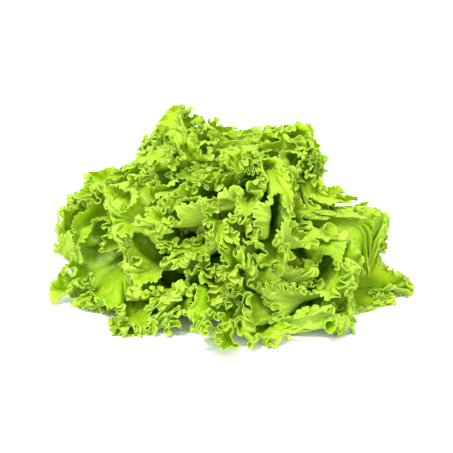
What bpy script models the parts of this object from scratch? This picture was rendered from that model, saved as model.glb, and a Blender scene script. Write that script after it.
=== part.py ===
"""Head of leaf lettuce lying on its side: a cut stem and 26 frilled leaves in a spiral round it.

Units are metres, +Z is up. The head's axis leans up and forward, so that the leaf tips face
the viewer and the cut end of the stem is at the back, near the ground.
"""
import math

import bmesh
import bpy
import numpy as np
from mathutils import Vector
from mathutils.bvhtree import BVHTree

# Head
LEAF_COUNT = 26
SPIRAL_STEP = math.radians(137.508)
FIRST_AZIMUTH = math.radians(-128.0)
AXIS_LEAN = math.radians(45.0)
BASE_HEIGHT = 0.012
SEED = 743

# Stem: leaf roots are spread evenly from its cut end to its tip
STEM_LENGTH = 0.059
STEM_BASE_RADIUS = 0.0150
STEM_TIP_RADIUS = 0.0052
STEM_CHAMFER = 0.0012
STEM_COLLAR = 0.0035
STEM_DOME = 0.001
STEM_DOME_SHARE = 0.45
STEM_SIDES = 24
FIRST_ROOT = 0.0035
LAST_ROOT = 0.058
GAP_TO_STEM = 0.0003

# Distance of the outermost leaf tips from the axis, by azimuth round it in degrees
REACH = (
    (-180, 0.163), (-168, 0.160), (-156, 0.178), (-144, 0.162), (-132, 0.160), (-120, 0.138),
    (-104, 0.127), (-84, 0.130), (-70, 0.139), (-58, 0.142), (-45, 0.172), (-30, 0.182),
    (-20, 0.179), (-10, 0.150), (0, 0.122), (14, 0.101), (24, 0.094), (38, 0.106),
    (50, 0.100), (62, 0.086), (72, 0.092), (84, 0.083), (96, 0.097), (108, 0.086),
    (120, 0.106), (134, 0.109), (148, 0.130), (160, 0.150),
)
REACH_BLUR = ((-8.0, 0.25), (0.0, 0.5), (8.0, 0.25))
CHORD_MEAN = 0.170
CHORD_SWING = 0.022
CHORD_DROP = 0.30
LEAST_RISE = 0.040
RISE_WITH_ROOT = 0.7

# How far the tips draw in towards the axis from the outermost leaf to the heart
DRAW_IN = 0.42
DRAW_IN_FASTER = 0.42

# Curve of a leaf's profile: it leaves the stem upright and arches, and its tip curves in again
HANDLE = 0.34
START_SHARE = 0.60
START_LEAN = math.radians(10.0)
TIP_BEND = math.radians(-15.0)
TIP_BEND_SWING = math.radians(9.0)
SWINGS_AROUND = 3.0
SWINGS_INWARD = 4.0

# Leaf, outermost and how much less it is at the heart
OUTER_LENGTH = 0.200
LENGTH_DROP = 0.105
OUTER_WIDTH = 0.185
WIDTH_DROP = 0.110
STALK_SHARE = 0.14
STALK_CLASP = 0.68
STALK_FLARE = 0.003
BLADE_SHAPE = 0.81
BLADE_START = 1.25
BLADE_END = 5
RIB_SPREAD = 1.2
RIB_FAN = 0.75
TIGHTEST_TURN = 0.014
TIGHTER_BY = 0.012
BLADE_THICKNESS = 0.0009
RIB_THICKNESS = 0.0014

# Frill
FRILL_WAVE = 0.040
FRILL_ROOT = 1.5
STALK_SMOOTH = 0.62
STALK_EASE = 0.22
FRILL_HEIGHT = 0.020
FRILL_LIMIT = 0.36
FREE_ROOM = 0.16
NEIGHBOUR_FADE = 0.024
DEPTH_STEP = 0.01
LEAST_SPREAD = 0.020

# Bends that all the leaves share, and the way the low ones settle on the ground
FLOW_AMOUNT = 0.007
FLOW_SEED = 612
FLOW_WAVES = 7
FLOW_STEPS = 8
FLOW_LENGTHS = (0.085, 0.130)
STILL_CENTRE = (0.0, -0.020, 0.045)
STILL_RADIUS = 0.040
FLOW_EASE = 0.080
GROUND_SOFTNESS = 0.004
GROUND_LAYER = 0.0019
GROUND_ZONE = 0.009
GROUND_REACH = 0.009
GROUND_SINK = 0.0032

# Looks
LEAF_COLOUR = (0.30, 0.52, 0.05)
HEART_LIGHTER = 0.10
LEAF_ROUGHNESS = 0.45
STEM_COLOUR = (0.72, 0.76, 0.48)
STEM_ROUGHNESS = 0.55

# Mesh
COLUMNS = 37
EVEN_SHARE = 0.80
ROWS = (0.0, 0.32, 0.58, 0.80, 1.0)


def clear_scene():
    for item in list(bpy.data.objects):
        bpy.data.objects.remove(item)


def ease(x):
    x = np.clip(x, 0.0, 1.0)
    return x * x * (3.0 - 2.0 * x)


def reach(azimuth):
    """Distance of the outer leaf tips from the axis, smoothed between the entries of REACH."""
    degrees = (np.degrees(azimuth) + 180.0) % 360.0 - 180.0
    angles = np.array([row[0] for row in REACH], dtype=float)
    sizes = np.array([row[1] for row in REACH])
    angles = np.concatenate([angles - 360.0, angles, angles + 360.0])
    sizes = np.tile(sizes, 3)
    total = 0.0
    for offset, share in REACH_BLUR:
        total = total + share * np.interp(degrees + offset, angles, sizes)
    return total


def cubic(t, first, second, third, last):
    """Point at t on a cubic Bezier curve."""
    back = 1.0 - t
    return back ** 3 * first + 3.0 * back ** 2 * t * second + 3.0 * back * t ** 2 * third + t ** 3 * last


def profile(depth, along, azimuth):
    """Radius and height on the surface that holds a leaf; depth is 0 outermost and 1 at the heart."""
    radius = STEM_BASE_RADIUS - (STEM_BASE_RADIUS - STEM_TIP_RADIUS) * depth
    height = FIRST_ROOT + (LAST_ROOT - FIRST_ROOT) * depth
    tip_radius = (1.0 - DRAW_IN * depth - DRAW_IN_FASTER * depth * np.abs(depth)) * reach(azimuth)
    chord = (CHORD_MEAN - CHORD_SWING * np.sin(azimuth)) * (1.0 - CHORD_DROP * depth)
    rise = np.sqrt(np.maximum(chord ** 2 - tip_radius ** 2, LEAST_RISE ** 2))
    tip_height = RISE_WITH_ROOT * height + rise
    lean = np.arctan2(tip_radius - radius, tip_height - height)
    size = np.hypot(tip_radius - radius, tip_height - height)
    start = START_SHARE * lean + START_LEAN * (1.0 - depth)
    end = lean + TIP_BEND * (1.0 - 0.5 * depth)
    end = end + TIP_BEND_SWING * np.sin(SWINGS_AROUND * azimuth + SWINGS_INWARD * depth)
    near_radius = radius + HANDLE * size * np.sin(start)
    near_height = height + HANDLE * size * np.cos(start)
    far_radius = tip_radius - HANDLE * size * np.sin(end)
    far_height = tip_height - HANDLE * size * np.cos(end)
    r = cubic(along, radius, near_radius, far_radius, tip_radius)
    a = cubic(along, height, near_height, far_height, tip_height)
    return r, a


def shared_waves():
    rng = np.random.default_rng(FLOW_SEED)
    waves = []
    for _ in range(FLOW_WAVES):
        direction = rng.normal(size=3)
        direction /= np.linalg.norm(direction)
        length = rng.uniform(*FLOW_LENGTHS)
        push = rng.normal(size=3)
        push -= push @ direction * direction
        push /= np.linalg.norm(push)
        waves.append((2.0 * math.pi / length * direction, push, rng.uniform(0.0, 2.0 * math.pi)))
    return waves


def flow(points, waves):
    """Smooth bends of all space away from the stem."""
    for _ in range(FLOW_STEPS):
        distance = np.linalg.norm(points - np.array(STILL_CENTRE), axis=-1)
        free = ease((distance - STILL_RADIUS) / FLOW_EASE)
        move = np.zeros_like(points)
        for vector, push, phase in waves:
            move += np.sin(points @ vector + phase)[..., None] * push
        points = points + move * free[..., None] * FLOW_AMOUNT / FLOW_STEPS
    return points


def settle(points):
    """What would pass below the ground lies flat on it."""
    z = points[..., 2]
    low = GROUND_SOFTNESS * np.exp(np.minimum(z - GROUND_SOFTNESS, 0.0) / GROUND_SOFTNESS)
    z = np.where(z < GROUND_SOFTNESS, low, z) - GROUND_SINK
    settled = points.copy()
    settled[..., 2] = np.maximum(z, BLADE_THICKNESS / 2.0)
    return settled


def pile(points, placed):
    """Lift what lies on the ground over the leaves that lie there already."""
    for index in np.ndindex(points.shape[:2]):
        x, y, z = points[index]
        if z > GROUND_ZONE:
            continue
        for across in (-GROUND_REACH, 0.0, GROUND_REACH):
            for along in (-GROUND_REACH, 0.0, GROUND_REACH):
                for tree in placed:
                    start = Vector((x + across, y + along, GROUND_ZONE))
                    hit = tree.ray_cast(start, Vector((0.0, 0.0, -1.0)))[0]
                    if hit is not None:
                        z = max(z, hit.z + GROUND_LAYER)
        points[index][2] = z


def to_head(r, a, azimuth):
    side = r * np.cos(azimuth)
    up = r * np.sin(azimuth)
    sine = math.sin(AXIS_LEAN)
    cosine = math.cos(AXIS_LEAN)
    return np.stack([side, up * sine - a * cosine, BASE_HEIGHT + a * sine + up * cosine], axis=-1)


def place(depth, along, azimuth, waves):
    r, a = profile(depth, along, azimuth)
    return settle(flow(to_head(r, a, azimuth), waves))


def make_leaf(index, rng):
    depth = index / (LEAF_COUNT - 1)
    length = OUTER_LENGTH - LENGTH_DROP * depth ** 1.2
    width = (OUTER_WIDTH - WIDTH_DROP * depth ** 1.1) * rng.uniform(0.92, 1.08)
    leaf = {
        "depth": depth,
        "azimuth": FIRST_AZIMUTH + index * SPIRAL_STEP + rng.uniform(-0.10, 0.10),
        "length": length,
        "width": width,
        "extent": rng.uniform(0.88, 1.06),
        "seed": int(rng.integers(1 << 30)),
    }
    step = 0.5 - 0.5 * np.cos(math.pi * np.linspace(0.0, 1.0, 600))
    x = half_width(leaf, step)
    y = step * length
    run = np.concatenate([[0.0], np.cumsum(np.hypot(np.diff(x), np.diff(y)))])
    leaf["half"] = run[-1]
    leaf["edge"] = (run[-1] - run[::-1], x[::-1], y[::-1])
    return leaf


def half_width(leaf, step):
    """Half the leaf's width: a stalk that clasps the stem, then a blade widest near its end."""
    radius = STEM_BASE_RADIUS - (STEM_BASE_RADIUS - STEM_TIP_RADIUS) * leaf["depth"]
    stalk = (STALK_CLASP * radius + STALK_FLARE * step) * np.sqrt(np.clip(1.0 - step ** 10, 0.0, 1.0))
    u = np.clip((step - STALK_SHARE) / (1.0 - STALK_SHARE), 0.0, 1.0)
    tip = np.sqrt(np.clip(1.0 - u ** BLADE_END, 0.0, 1.0))
    blade = BLADE_SHAPE * leaf["width"] * u ** BLADE_START * tip
    return np.sqrt(stalk ** 2 + blade ** 2)


def flat_point(leaf, run, across):
    """Flat leaf: run is the distance along the margin from the tip, across goes from rib to margin."""
    distance, edge_x, edge_y = leaf["edge"]
    x = np.interp(np.abs(run), distance, edge_x)
    y = np.interp(np.abs(run), distance, edge_y)
    foot = y * y / (RIB_SPREAD * y + RIB_FAN * x)
    return np.sign(run) * x * across, foot + (y - foot) * across


def turn_radius(leaf, along):
    r, _ = profile(leaf["depth"], np.clip(along, 0.0, 1.0), leaf["azimuth"] + 0.0 * along)
    return np.maximum(r, TIGHTEST_TURN + TIGHTER_BY * leaf["depth"])


def on_family(leaf, x, y):
    """Fraction along the profile and azimuth of a flat point."""
    along = y / leaf["length"] * leaf["extent"]
    return along, leaf["azimuth"] + x / turn_radius(leaf, along)


def presence(other, along, azimuth):
    """1 where the other leaf covers this part of the family, falling to 0 outside its margin."""
    y = along / other["extent"] * other["length"]
    turn = (azimuth - other["azimuth"] + math.pi) % (2.0 * math.pi) - math.pi
    x = np.abs(turn) * turn_radius(other, along)
    inside = half_width(other, np.clip(y / other["length"], 0.0, 1.0)) - x
    inside = np.minimum(inside, other["length"] - y)
    return ease((inside + NEIGHBOUR_FADE) / NEIGHBOUR_FADE)


def room(leaf, leaves, along, azimuth):
    """How far this leaf may move out and in, as changes of depth."""
    outward = np.full(along.shape, FREE_ROOM)
    inward = np.full(along.shape, FREE_ROOM)
    for other in leaves:
        half_step = 0.5 * (other["depth"] - leaf["depth"])
        if half_step == 0.0:
            continue
        share = FRILL_LIMIT * abs(half_step)
        free = share + (1.0 - presence(other, along, azimuth)) * FREE_ROOM
        if half_step > 0.0:
            inward = np.minimum(inward, free)
        else:
            outward = np.minimum(outward, free)
    return outward, inward


def wobble(rng, x, scale):
    """Smooth noise along x, about 1 in size."""
    total = 0.0
    for _ in range(3):
        rate = rng.uniform(0.6, 1.6) * 2.0 * math.pi / (3.0 * scale)
        total = total + np.sin(x * rate + rng.uniform(0.0, 2.0 * math.pi))
    return total / math.sqrt(3.0)


def frill(leaf, rng, run, across):
    """Distance by which the margin waves out of the leaf's surface."""
    fine = np.linspace(-leaf["half"], leaf["half"], 2001)
    rate = 2.0 * math.pi / FRILL_WAVE * (1.0 + 0.20 * wobble(rng, fine, 0.070))
    phase = np.interp(run, fine, np.cumsum(rate) * (fine[1] - fine[0]))
    size = FRILL_HEIGHT * (1.0 + 0.25 * wobble(rng, run, 0.060))
    blade = 1.0 - ease((np.abs(run) / leaf["half"] - STALK_SMOOTH) / STALK_EASE)
    return size * blade * across ** FRILL_ROOT * np.sin(phase)


def column_runs(leaf):
    """Places along the margin, closer together on the blade than on the stalk."""
    u = np.linspace(-1.0, 1.0, COLUMNS)
    return leaf["half"] * np.sign(u) * (EVEN_SHARE * np.abs(u) + (1.0 - EVEN_SHARE) * u ** 4)


def leaf_sheet(leaf, leaves, waves):
    """Middle surface of a leaf as a grid of points, and its thickness."""
    rng = np.random.default_rng(leaf["seed"])
    run = np.repeat(column_runs(leaf)[:, None], len(ROWS), axis=1)
    across = np.repeat(np.array(ROWS)[None, :], COLUMNS, axis=0)
    x, y = flat_point(leaf, run, across)
    along, azimuth = on_family(leaf, x, y)
    depth = np.full(along.shape, leaf["depth"])
    here = place(depth, along, azimuth, waves)
    inner = place(depth + DEPTH_STEP, along, azimuth, waves)
    spread = np.linalg.norm(inner - here, axis=-1) / DEPTH_STEP
    spread = np.maximum(spread, LEAST_SPREAD)
    move = frill(leaf, rng, run, across) / spread
    outward, inward = room(leaf, leaves, along, azimuth)
    move = np.where(move > 0.0, inward * np.tanh(move / inward), outward * np.tanh(move / outward))
    points = place(depth + move, along, azimuth, waves)
    fraction = np.clip(y / leaf["length"], 0.0, 1.0)
    thickness = BLADE_THICKNESS + RIB_THICKNESS * (1.0 - across) ** 2 * (1.0 - fraction) ** 1.5
    return points, thickness


def sheet_faces(points):
    """Vertex numbers of the grid with the two halves joined at the rib, and its triangles."""
    columns, rows = points.shape[:2]
    number = np.zeros((columns, rows), dtype=int)
    order = []
    for i in range(columns):
        for j in range(rows):
            mirror = columns - 1 - i
            if j == 0 and mirror < i:
                number[i, j] = number[mirror, j]
                continue
            number[i, j] = len(order)
            order.append((i, j))
    triangles = []
    for i in range(columns - 1):
        for j in range(rows - 1):
            a, b, c, d = (i, j), (i + 1, j), (i + 1, j + 1), (i, j + 1)
            if np.linalg.norm(points[a] - points[c]) < np.linalg.norm(points[b] - points[d]):
                corners = ((a, b, c), (a, c, d))
            else:
                corners = ((a, b, d), (b, c, d))
            for corner in corners:
                triangles.append(tuple(number[p] for p in corner))
    return order, triangles


def thicken(vertices, triangles, thickness):
    """Closed solid round a sheet: both faces split alike, joined by a rim."""
    corners = vertices[np.array(triangles)]
    facing = np.cross(corners[:, 1] - corners[:, 0], corners[:, 2] - corners[:, 0])
    normals = np.zeros_like(vertices)
    for column in range(3):
        np.add.at(normals, np.array(triangles)[:, column], facing)
    normals /= np.linalg.norm(normals, axis=1, keepdims=True)
    upper = vertices + normals * thickness[:, None] / 2.0
    lower = vertices - normals * thickness[:, None] / 2.0
    count = len(vertices)
    faces = [tuple(t) for t in triangles]
    faces += [(t[0] + count, t[2] + count, t[1] + count) for t in triangles]
    edges = set()
    for t in triangles:
        for k in range(3):
            edges.add((t[k], t[(k + 1) % 3]))
    for a, b in sorted(edges):
        if (b, a) not in edges:
            faces.append((b, a, a + count))
            faces.append((b, a + count, b + count))
    solid = np.concatenate([upper, lower])
    solid[:, 2] = np.maximum(solid[:, 2], 0.0)
    return solid, faces


def add_object(name, vertices, faces, colour, roughness, root):
    """Object with its origin at the root, the middle of where the piece starts."""
    mesh = bpy.data.meshes.new(name)
    mesh.from_pydata([tuple(v) for v in vertices - root], [], faces)
    work = bmesh.new()
    work.from_mesh(mesh)
    bmesh.ops.recalc_face_normals(work, faces=work.faces)
    work.to_mesh(mesh)
    work.free()
    material = bpy.data.materials.new(name)
    material.use_nodes = True
    shader = material.node_tree.nodes["Principled BSDF"]
    shader.inputs["Base Color"].default_value = (*colour, 1.0)
    shader.inputs["Roughness"].default_value = roughness
    mesh.materials.append(material)
    item = bpy.data.objects.new(name, mesh)
    item.location = root
    bpy.context.scene.collection.objects.link(item)
    return item


def stem_solid():
    """Tapered stem with a flat cut end and a small chamfer round the cut."""
    inset = (BLADE_THICKNESS + RIB_THICKNESS) / 2.0 + GAP_TO_STEM
    base = STEM_BASE_RADIUS - inset
    tip = STEM_TIP_RADIUS - inset
    rings = (
        (base - STEM_CHAMFER, 0.0),
        (base, STEM_CHAMFER),
        (base, STEM_COLLAR),
        (tip, STEM_LENGTH - STEM_DOME),
        (STEM_DOME_SHARE * tip, STEM_LENGTH + STEM_DOME),
    )
    angles = np.arange(STEM_SIDES) * 2.0 * math.pi / STEM_SIDES
    vertices = [to_head(r, a, angles) for r, a in rings]
    faces = []
    for ring in range(len(rings) - 1):
        for k in range(STEM_SIDES):
            n = (k + 1) % STEM_SIDES
            low = ring * STEM_SIDES
            faces.append((low + k, low + n, low + STEM_SIDES + n, low + STEM_SIDES + k))
    faces.append(tuple(reversed(range(STEM_SIDES))))
    last = (len(rings) - 1) * STEM_SIDES
    faces.append(tuple(range(last, last + STEM_SIDES)))
    return np.concatenate(vertices), faces


def head_solids():
    """Name, vertices, faces, colour, roughness and root of every piece, centred on the ground."""
    waves = shared_waves()
    rng = np.random.default_rng(SEED)
    leaves = [make_leaf(index, rng) for index in range(LEAF_COUNT)]
    solids = []
    placed = []
    for index, leaf in enumerate(leaves):
        points, thickness = leaf_sheet(leaf, leaves, waves)
        pile(points, placed)
        order, triangles = sheet_faces(points)
        vertices = np.array([points[p] for p in order])
        placed.append(BVHTree.FromPolygons(vertices.tolist(), triangles))
        wall = np.array([thickness[p] for p in order])
        solid, faces = thicken(vertices, triangles, wall)
        colour = np.array(LEAF_COLOUR) + HEART_LIGHTER * leaf["depth"]
        root = points[0, 0]
        solids.append((f"leaf_{index + 1:02d}", solid, faces, colour, LEAF_ROUGHNESS, root))
    vertices, faces = stem_solid()
    sink = np.array([0.0, 0.0, GROUND_SINK])
    root = to_head(0.0, 0.0, 0.0) - sink
    solids.insert(0, ("stem", vertices - sink, faces, STEM_COLOUR, STEM_ROUGHNESS, root))
    everything = np.concatenate([item[1] for item in solids])
    low = everything.min(axis=0)
    high = everything.max(axis=0)
    shift = np.array([(low[0] + high[0]) / 2.0, (low[1] + high[1]) / 2.0, low[2]])
    return [(*solid[:1], solid[1] - shift, *solid[2:5], solid[5] - shift) for solid in solids]


def build():
    clear_scene()
    head = bpy.data.objects.new("head", None)
    bpy.context.scene.collection.objects.link(head)
    for solid in head_solids():
        add_object(*solid).parent = head


build()
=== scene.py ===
"""Looks of a head of leaf lettuce: 26 finely frilled leaves on a cut stem, on a plain pale floor.

The leaves follow the same formulas as the solids, with three finer orders of frill at the margin,
thinner blades, ribs and veins. Units are metres, +Z is up.
"""
import math

import bpy
import numpy as np
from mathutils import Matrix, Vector
from mathutils.bvhtree import BVHTree


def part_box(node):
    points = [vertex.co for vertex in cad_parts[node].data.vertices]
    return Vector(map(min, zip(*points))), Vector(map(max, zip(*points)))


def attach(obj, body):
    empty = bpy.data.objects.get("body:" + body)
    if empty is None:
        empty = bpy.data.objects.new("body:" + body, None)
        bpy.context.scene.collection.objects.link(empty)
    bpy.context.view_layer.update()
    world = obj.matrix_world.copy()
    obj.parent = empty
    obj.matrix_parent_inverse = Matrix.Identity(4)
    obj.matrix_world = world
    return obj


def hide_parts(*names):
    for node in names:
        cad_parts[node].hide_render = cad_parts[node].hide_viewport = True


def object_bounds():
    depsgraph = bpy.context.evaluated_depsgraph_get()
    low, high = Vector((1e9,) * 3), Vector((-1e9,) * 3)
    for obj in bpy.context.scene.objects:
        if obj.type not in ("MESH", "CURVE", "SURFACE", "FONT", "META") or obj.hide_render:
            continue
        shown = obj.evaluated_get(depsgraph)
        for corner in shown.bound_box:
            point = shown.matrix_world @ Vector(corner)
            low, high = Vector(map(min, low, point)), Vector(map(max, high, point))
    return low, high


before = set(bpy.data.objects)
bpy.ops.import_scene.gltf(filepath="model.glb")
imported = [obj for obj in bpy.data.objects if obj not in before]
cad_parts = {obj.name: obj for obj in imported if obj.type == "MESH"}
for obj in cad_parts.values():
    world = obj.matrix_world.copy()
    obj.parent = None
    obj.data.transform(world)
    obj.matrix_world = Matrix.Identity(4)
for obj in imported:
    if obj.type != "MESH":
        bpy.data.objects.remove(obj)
cad_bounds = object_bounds()

# Head
LEAF_COUNT = 26
SPIRAL_STEP = math.radians(137.508)
FIRST_AZIMUTH = math.radians(-128.0)
AXIS_LEAN = math.radians(45.0)
BASE_HEIGHT = 0.012
SEED = 743
SEED_RANGE = 1 << 30

# Stem: leaf roots are spread evenly from its cut end to its tip
STEM_LENGTH = 0.059
STEM_BASE_RADIUS = 0.0150
STEM_TIP_RADIUS = 0.0052
STEM_CHAMFER = 0.0012
STEM_COLLAR = 0.0035
STEM_DOME = 0.001
STEM_SIDES = 24
FIRST_ROOT = 0.0035
LAST_ROOT = 0.058
GAP_TO_STEM = 0.0003

# Distance of the outermost leaf tips from the axis, by azimuth round it in degrees
REACH = (
    (-180, 0.163), (-168, 0.160), (-156, 0.178), (-144, 0.162), (-132, 0.160), (-120, 0.138),
    (-104, 0.127), (-84, 0.130), (-70, 0.139), (-58, 0.142), (-45, 0.172), (-30, 0.182),
    (-20, 0.179), (-10, 0.150), (0, 0.122), (14, 0.101), (24, 0.094), (38, 0.106),
    (50, 0.100), (62, 0.086), (72, 0.092), (84, 0.083), (96, 0.097), (108, 0.086),
    (120, 0.106), (134, 0.109), (148, 0.130), (160, 0.150),
)
REACH_BLUR = ((-8.0, 0.25), (0.0, 0.5), (8.0, 0.25))
CHORD_MEAN = 0.170
CHORD_SWING = 0.022
CHORD_DROP = 0.30
LEAST_RISE = 0.040
RISE_WITH_ROOT = 0.7

# How far the tips draw in towards the axis from the outermost leaf to the heart
DRAW_IN = 0.42
DRAW_IN_FASTER = 0.42

# Curve of a leaf's profile: it leaves the stem upright and arches, and its tip curves in again
HANDLE = 0.34
START_SHARE = 0.60
START_LEAN = math.radians(10.0)
TIP_BEND = math.radians(-15.0)
TIP_BEND_LOSS = 0.5
TIP_BEND_SWING = math.radians(9.0)
SWINGS_AROUND = 3.0
SWINGS_INWARD = 4.0

# Leaf, outermost and how much less it is at the heart
OUTER_LENGTH = 0.200
LENGTH_DROP = 0.105
LENGTH_CURVE = 1.2
OUTER_WIDTH = 0.185
WIDTH_DROP = 0.110
WIDTH_CURVE = 1.1

# How much the leaves differ by chance in width, turn round the axis and reach along the profile
WIDTH_RANGE = (0.92, 1.08)
TURN_RANGE = (-0.10, 0.10)
EXTENT_RANGE = (0.88, 1.06)

# Outline of a leaf
OUTLINE_STEPS = 600
STALK_SHARE = 0.14
STALK_CLASP = 0.68
STALK_FLARE = 0.003
STALK_END = 10
BLADE_SHAPE = 0.81
BLADE_START = 1.25
BLADE_END = 5
RIB_SPREAD = 1.2
RIB_FAN = 0.75
TIGHTEST_TURN = 0.014
TIGHTER_BY = 0.012

# Smooth noise: how many waves it adds up, their rates, and their mean length in units of its scale
NOISE_WAVES = 3
NOISE_RATES = (0.6, 1.6)
NOISE_LENGTH = 3.0

# Large frill, with more freedom than the solids have
MARGIN_SAMPLES = 2001
FRILL_WAVE = 0.040
FRILL_WAVE_UNEVEN = 0.20
FRILL_WAVE_SPAN = 0.070
FRILL_HEIGHT = 0.020
FRILL_HEIGHT_UNEVEN = 0.25
FRILL_HEIGHT_SPAN = 0.060
FRILL_ROOT = 1.9
FURTHEST_ACROSS = 1.2
STALK_SMOOTH = 0.62
STALK_EASE = 0.22
FRILL_LIMIT = 0.92
FREE_ROOM = 0.16
NEIGHBOUR_FADE = 0.024
DEPTH_STEP = 0.01
LEAST_SPREAD = 0.020

# Bends that all the leaves share, and the way the low ones settle on the ground
FLOW_AMOUNT = 0.007
FLOW_SEED = 612
FLOW_WAVES = 7
FLOW_STEPS = 8
FLOW_LENGTHS = (0.085, 0.130)
STILL_CENTRE = (0.0, -0.020, 0.045)
STILL_RADIUS = 0.040
FLOW_EASE = 0.080
GROUND_SOFTNESS = 0.004
GROUND_SINK = 0.0032
GROUND_ZONE = 0.010

# The solids' own thickness, and the room that it leaves the stem inside the leaves
SOLID_BLADE = 0.0009
SOLID_RIB = 0.0014
STEM_INSET = (SOLID_BLADE + SOLID_RIB) / 2.0 + GAP_TO_STEM

# The large frill overhangs, and finer frills ride on it: wave length along the margin, height,
# overhang, how far each reaches in from the margin, and how far it tilts the next one
OVERHANG = 0.006
OVERHANG_ROOT = 4
FINER = (
    {
        "wave": 0.0195, "height": 0.0052, "overhang": 0.0020,
        "depth": 0.0115, "tilt": 1.0, "uneven": 0.35,
    },
    {
        "wave": 0.0076, "height": 0.0034, "overhang": 0.0013,
        "depth": 0.0056, "tilt": 1.3, "uneven": 0.30,
    },
    {
        "wave": 0.0042, "height": 0.0010, "overhang": 0.0001,
        "depth": 0.0022, "tilt": 0.0, "uneven": 0.35,
    },
)
FINE_FADE = 1.5
MOST_TILT = 1.1
PHASE_WOBBLE = 1.1
PHASE_SPAN = 2.2
SIZE_SPAN = 3.0
STRETCH = 1.35

# Lobes and teeth of the margin
LOBE_SIZE = 0.0022
LOBE_LENGTH = 0.022
LOBE_ROOT = 6
TOOTH_SIZE = 0.0013
TOOTH_WAVE = 0.0042
TOOTH_DEPTH = 0.0020
TOOTH_LEVEL = 0.6
TOOTH_UNEVEN = 0.5
TOOTH_WOBBLE = 0.8
TOOTH_SPAN = 2.0

# Calm stretches of the margin, where the finer frills are lower. There are more of them at the
# heart and fewer on the low side of the head.
CALM = 0.78
HEART_CALM = 0.30
CALM_LENGTH = 0.030
CALM_START = -0.45
CALM_RISE = 0.7
CALM_BELOW = 0.8

# How high the finer frills may rise, in units of the large frill's room, and the least they keep
FINE_ROOM = 2.15
LEAST_FREE = 0.0006

# Soft unevenness of the blades, away from rib and margin
CRUMPLE_SLOPE = 0.032
CRUMPLE_LENGTHS = (0.034, 0.027, 0.021, 0.016, 0.013)
CRUMPLE_ROOM = 0.30
CRUMPLE_FROM_RIB = 0.012
CRUMPLE_FROM_EDGE = 0.006

# Thickness of the fine leaves, less at the very edge
FINE_BLADE = 0.00055
THIN_EDGE = 0.75
EDGE_EASE = 0.004
FINE_RIB = 0.0022
RIB_TAPER = 1.2
RIB_WIDTH = 0.0035
RIB_TIP_WIDTH = 0.4

# Mesh: column stride and distances from the margin of the rows, on a blade FULL_RAY wide
FULL_RAY = 0.075
ROWS_BY_STRIDE = (
    (16, (0.075, 0.0742, 0.0725, 0.0695, 0.065, 0.059)),
    (8, (0.052, 0.044, 0.037, 0.0315)),
    (4, (0.0265, 0.0220, 0.0178, 0.0142)),
    (2, (0.0114, 0.0088, 0.0066, 0.0048)),
    (1, (0.0033, 0.0021, 0.0010, 0.0)),
)
COLUMNS_PER_METRE = 1540.0
COLUMN_BLOCK = 32
LEAST_BLOCKS = 8
STALK_DENSITY = 0.22
LEAST_STEP = 0.42
RUN_NUDGE = 0.0012
ACROSS_NUDGE = 0.02
SPACE_COLUMNS = 81
SPACE_ROWS = 9
BELOW_GROUND = -0.01
LEAST_LENGTH = 1e-9

# Fine stem: rings on the cut face as shares of its radius, how far that face dishes in, and waves
# round the stem as size, count and phase
CUT_RINGS = (0.15, 0.30, 0.45, 0.60, 0.74, 0.86)
CUT_DISH = 0.0006
CHAMFER_STEPS = 4
CORE_STEPS = 12
CORE_COLUMNS = 72
CORE_RIPPLE = 0.010
CORE_WAVES = ((0.6, 5.0, 1.0), (0.4, 11.0, 2.0))

# Colours, linear. LEAF_THROUGH scales the leaf's own colour for the light that shines through it.
LEAF_GREEN = (0.375, 0.540, 0.010, 1.0)
# Dark green, used both for random darker patches and as painted shade away from the margin
LEAF_DARK_TONE_AND_SHADE = (0.215, 0.415, 0.001, 1.0)
LEAF_HEART = (0.385, 0.560, 0.024, 1.0)
LEAF_UNDERSIDE = (0.350, 0.515, 0.050, 1.0)
LEAF_VEIN = (0.520, 0.680, 0.130, 1.0)
# Painted highlight: lighter, yellower green for the thin margins, where light catches and shines
# through
LEAF_EDGE_HIGHLIGHT = (0.430, 0.580, 0.070, 1.0)
LEAF_STALK = (0.560, 0.660, 0.300, 1.0)
# Painted shade: near-black green for the upper faces towards each leaf's base, deep in the head
LEAF_PAINTED_SHADE = (0.070, 0.220, 0.001, 1.0)
LEAF_THROUGH = (1.30, 1.18, 0.80, 1.0)
STEM_SKIN = (0.66, 0.74, 0.38, 1.0)
STEM_SKIN_DARK = (0.50, 0.62, 0.22, 1.0)
STEM_CUT = (0.80, 0.80, 0.58, 1.0)
STEM_CUT_RING = (0.64, 0.66, 0.36, 1.0)
STEM_STAIN = (0.52, 0.32, 0.14, 1.0)

# Veins. A fade is full at its first value and gone at its second.
VEIN_SPACING = 0.019
VEIN_LINE = (0.0, 0.0011)
VEIN_REACH = (0.020, 0.085)
VEIN_BEND = 0.016
VEIN_BEND_SCALE = 28.0
BRANCHES_PER_VEIN = 3.0
BRANCH_LINE = (0.0, 0.0006)
BRANCH_REACH = (0.004, 0.035)
BRANCH_BEND = 0.010
BRANCH_BEND_SCALE = 60.0
BRANCH_STRENGTH = 0.25
NET_SCALE = 170.0
NET_LINE = (0.0, 0.12)
NET_STRENGTH = 0.38
RIB_LINE = (0.0005, 0.0045)
RIB_STRENGTH = 1.6

# Where and how strongly each colour of the leaf shows
PATCH_SCALE = 34.0
PATCH_DETAIL = 3.0
PATCH_FADE = (0.40, 0.62)
# Painted shade: the blade turns towards the dark green farther in from its margin, standing in for
# shade between the leaves
INSET_SHADE_FADE = (0.034, 0.010)
INSET_SHADE_SHARE = 0.45
HEART_SHARE = 0.55
UNDERSIDE_SHARE = 0.75
VEIN_SHARE = 0.38
# Painted highlight along the very margin
EDGE_HIGHLIGHT_FADE = (0.0003, 0.0045)
EDGE_HIGHLIGHT_SHARE = 0.50
STALK_FADE = (1.0, 0.62)
PALE_INSIDE = 0.25
PALE_MORE_BELOW = 0.60
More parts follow.
